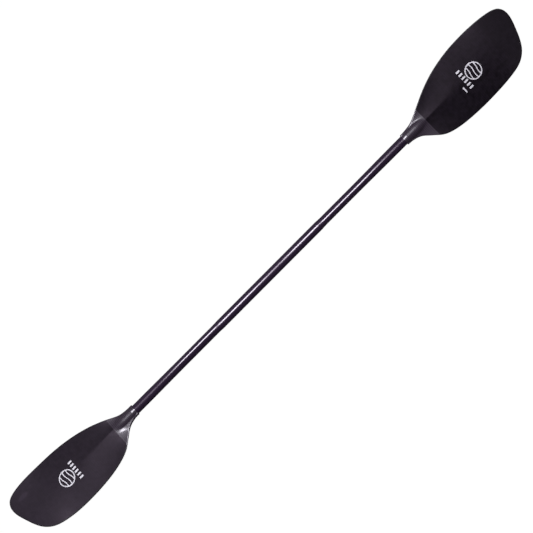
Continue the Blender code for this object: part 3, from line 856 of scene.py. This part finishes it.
def shaft_carbon():
    """Clear gloss over a wound tube: two crossing helices of tow, faint tape lines and fine dust."""
    material, tree, shader = new_material("gloss_shaft_carbon")
    where = place_map(tree)
    bands = []
    for turn in (WINDING_TURN, -WINDING_TURN):
        split = tree.nodes.new("ShaderNodeSeparateXYZ")
        tree.links.new(spread(tree, where, 1.0 / WINDING_WIDTH, turn), split.inputs[0])
        saw = maths(tree, 'FRACT', split.outputs[1])
        bands.append(stretch(tree, maths(tree, 'ABSOLUTE', maths(tree, 'MULTIPLY_ADD', saw, 2.0, -1.0)),
                             0.0, 1.0, 1.0, 0.5))
    cross = maths(tree, 'MAXIMUM', *bands)
    streaks = noise(tree, spread(tree, where, (120.0, 1500.0, 1.0), WINDING_TURN), 1.0, 3.0)
    tone = maths(tree, 'MULTIPLY', cross, stretch(tree, streaks, *NOISE_RANGE, 0.6, 1.3))
    tree.links.new(tint(tree, tone, SHAFT_DARK, SHAFT_LIGHT), shader.inputs["Base Color"])
    dust = stretch(tree, noise(tree, where, 240.0, 5.0, 0.6), 0.35, 0.7, 0.28, 0.38)
    tree.links.new(dust, shader.inputs["Roughness"])
    shader.inputs["Coat Weight"].default_value = 1.0
    shader.inputs["Coat Roughness"].default_value = 0.09
    shader.inputs["Specular IOR Level"].default_value = 0.3
    shader.inputs["Specular Tint"].default_value = SHAFT_SHEEN
    tape = tree.nodes.new("ShaderNodeSeparateXYZ")
    tree.links.new(spread(tree, where, 1.0 / TAPE_WIDTH, TAPE_TURN), tape.inputs[0])
    ridge = maths(tree, 'POWER', maths(tree, 'FRACT', tape.outputs[1]), 6.0)
    bump(tree, shader, ridge, 0.00001, 0.2)
    return material


def rim_resin():
    material, tree, shader = new_material("rim_resin")
    where = place_map(tree)
    grain = noise(tree, where, 420.0, 5.0, 0.6)
    nicks = stretch(tree, noise(tree, where, 90.0, 6.0, 0.7), 0.62, 0.72)
    colour = tint(tree, grain, RIM_DARK, RIM_LIGHT)
    tree.links.new(tint(tree, nicks, colour, RIM_NICK), shader.inputs["Base Color"])
    tree.links.new(stretch(tree, grain, *NOISE_RANGE, 0.42, 0.58), shader.inputs["Roughness"])
    bump(tree, shader, grain, 0.00008, 0.4)
    return material


def foam(name):
    """Closed-cell foam."""
    material, tree, shader = new_material(name)
    coordinates = tree.nodes.new("ShaderNodeTexCoord")
    cells = tree.nodes.new("ShaderNodeTexVoronoi")
    cells.inputs["Scale"].default_value = 900.0
    tree.links.new(coordinates.outputs["Object"], cells.inputs["Vector"])
    tree.links.new(tint(tree, cells.outputs["Distance"], FOAM_DARK, FOAM_LIGHT),
                   shader.inputs["Base Color"])
    tree.links.new(stretch(tree, cells.outputs["Distance"], 0.0, 1.0, 0.8, 0.95), shader.inputs["Roughness"])
    bump(tree, shader, cells.outputs["Distance"], 0.0004, 0.6)
    return material


def white_print():
    """Opaque satin ink with a slightly uneven cover."""
    material, tree, shader = new_material("white_print")
    where = place_map(tree)
    cover = stretch(tree, noise(tree, where, 700.0, 4.0, 0.6), 0.35, 0.65)
    tree.links.new(tint(tree, cover, PRINT_THIN, PRINT_FULL), shader.inputs["Base Color"])
    tree.links.new(stretch(tree, cover, 0.0, 1.0, 0.62, 0.48), shader.inputs["Roughness"])
    bump(tree, shader, cover, 0.00002, 0.4)
    return material


# ---------------------------------------------------------------- stage, light and camera

ROLL, PITCH = CAMERA_ROLL, CAMERA_PITCH
ALONG = Vector((cos(PITCH), sin(ROLL) * sin(PITCH), cos(ROLL) * sin(PITCH)))
ACROSS = Vector((0.0, cos(ROLL), -sin(ROLL)))
TOWARDS = Vector((-sin(PITCH), sin(ROLL) * cos(PITCH), cos(ROLL) * cos(PITCH)))


def aim(thing, place, right, up):
    """Puts a camera or light at a place given along, across and towards the camera, in the paddle's axes."""
    back = right.cross(up)
    turn = Matrix((right, up, back)).transposed().to_4x4()
    thing.matrix_world = REST @ Matrix.Translation(place) @ turn


def make_camera():
    camera = bpy.data.objects.new("camera", bpy.data.cameras.new("camera"))
    bpy.context.scene.collection.objects.link(camera)
    camera.data.lens = CAMERA_LENS
    camera.data.sensor_width = 36.0
    camera.data.clip_end = 100.0
    right = ALONG * cos(CAMERA_TURN) - ACROSS * sin(CAMERA_TURN)
    up = ALONG * sin(CAMERA_TURN) + ACROSS * cos(CAMERA_TURN)
    place = TOWARDS * CAMERA_DISTANCE + right * CAMERA_SHIFT[0] + up * CAMERA_SHIFT[1]
    aim(camera, place, right, up)
    bpy.context.scene.camera = camera


def make_softbox(name, along, core, length, unlit):
    """Rectangular lamp that faces the middle of the paddle.  Its core is even and its ends fade out."""
    lamp = bpy.data.lights.new(name, 'AREA')
    lamp.shape = 'RECTANGLE'
    lamp.size, lamp.size_y = length, SOFTBOX_WIDTH
    lamp.energy = SOFTBOX_RADIANCE * pi * length * SOFTBOX_WIDTH
    lamp.color = SOFTBOX_COLOUR
    lamp.use_nodes = True
    tree = lamp.node_tree
    split = tree.nodes.new("ShaderNodeSeparateXYZ")
    tree.links.new(tree.nodes.new("ShaderNodeNewGeometry").outputs["Parametric"], split.inputs[0])
    off_centre = maths(tree, 'ABSOLUTE', maths(tree, 'MULTIPLY_ADD', split.outputs[0], 2.0, -1.0))
    fade = stretch(tree, off_centre, core, 1.0, 1.0, 0.0)
    fade.node.interpolation_type = 'SMOOTHSTEP'
    tree.links.new(fade, tree.nodes["Emission"].inputs["Strength"])
    thing = bpy.data.objects.new(name, lamp)
    bpy.context.scene.collection.objects.link(thing)
    place = ALONG * along + ACROSS * SOFTBOX_ACROSS + TOWARDS * SOFTBOX_HEIGHT
    back = place.normalized()
    right = ACROSS.cross(back).normalized()
    aim(thing, place, right, back.cross(right))
    thing.visible_camera = False
    thing.light_linking.receiver_collection = unlit


def make_floor():
    bm = bmesh.new()
    bmesh.ops.create_grid(bm, x_segments=1, y_segments=1, size=FLOOR_HALF_SIZE)
    mesh = bpy.data.meshes.new("floor")
    bm.to_mesh(mesh)
    bm.free()
    floor = bpy.data.objects.new("floor", mesh)
    bpy.context.scene.collection.objects.link(floor)
    material, tree, shader = new_material("floor")
    shader.inputs["Base Color"].default_value = FLOOR_COLOUR
    shader.inputs["Roughness"].default_value = 0.9
    shader.inputs["Specular IOR Level"].default_value = 0.0
    shader.inputs["Emission Color"].default_value = (1.0, 1.0, 1.0, 1.0)
    shader.inputs["Emission Strength"].default_value = FLOOR_GLOW
    mesh.materials.append(material)
    floor.visible_glossy = False
    unlit = bpy.data.collections.new("not_lit_by_softboxes")
    unlit.objects.link(floor)
    unlit.collection_objects[0].light_linking.link_state = 'EXCLUDE'
    return unlit


def make_world():
    world = bpy.data.worlds.new("studio")
    bpy.context.scene.world = world
    world.use_nodes = True
    tree = world.node_tree
    background = tree.nodes["Background"]
    direction = tree.nodes.new("ShaderNodeTexCoord").outputs["Generated"]
    lean = tree.nodes.new("ShaderNodeVectorMath")
    lean.operation = 'DOT_PRODUCT'
    tree.links.new(direction, lean.inputs[0])
    lean.inputs[1].default_value = REST.to_3x3() @ (ACROSS * FILL_ACROSS + ALONG * FILL_ALONG)
    rise = maths(tree, 'POWER', stretch(tree, lean.outputs["Value"], -1.0, 1.0), FILL_FALL_OFF)
    fill = maths(tree, 'MULTIPLY_ADD', rise, FILL_STRENGTH, FILL_LEAST)
    seen = tree.nodes.new("ShaderNodeLightPath").outputs["Is Camera Ray"]
    tree.links.new(pick(tree, seen, fill, BACKDROP), background.inputs["Strength"])


# ---------------------------------------------------------------- the paddle

make_camera()
unlit_stage = make_floor()
make_world()
for softbox, (along_shaft, even_share, box_length) in SOFTBOXES.items():
    make_softbox(softbox, along_shaft, even_share, box_length, unlit_stage)
bpy.context.scene.view_settings.view_transform = 'Standard'

make_shaft(shaft_carbon())
neck_material, rim_material, print_material = neck_carbon(), rim_resin(), white_print()
back_material = blade_carbon("satin_carbon_back", 0.5)
# The left power face looks paler than the lamps alone make it, so its colour is paled with painted light and
# given a painted highlight near the tip, and its shine is set higher
front_materials = {"right": blade_carbon("satin_carbon_right", 0.2, darker_tip=True),
                   "left": blade_carbon("satin_carbon_left", 0.2, painted_light=0.38, shine=0.38, painted_highlight=True)}
for blade in SIDES:
    make_neck(blade, neck_material)
    make_skin(blade, "power_face", power_face, inside(power_face, SKIN, -1), front_materials[blade])
    make_skin(blade, "back_face", inside(back_face, SKIN, 1), back_face, back_material)
    make_rim(blade, rim_material)
    make_mark(blade, "emblem", emblem_outlines(), print_material)
    make_mark(blade, "label", label_outlines(), print_material)
    for hidden in ("foam_core", "end_plug"):
        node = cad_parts[f"{blade}_{hidden}"]
        node.data.materials.clear()
        node.data.materials.append(foam(f"{blade}_{hidden}"))
make_mark("right", "bar", [box_outline(*BAR_CENTRE, *BAR_SIZE)], print_material)
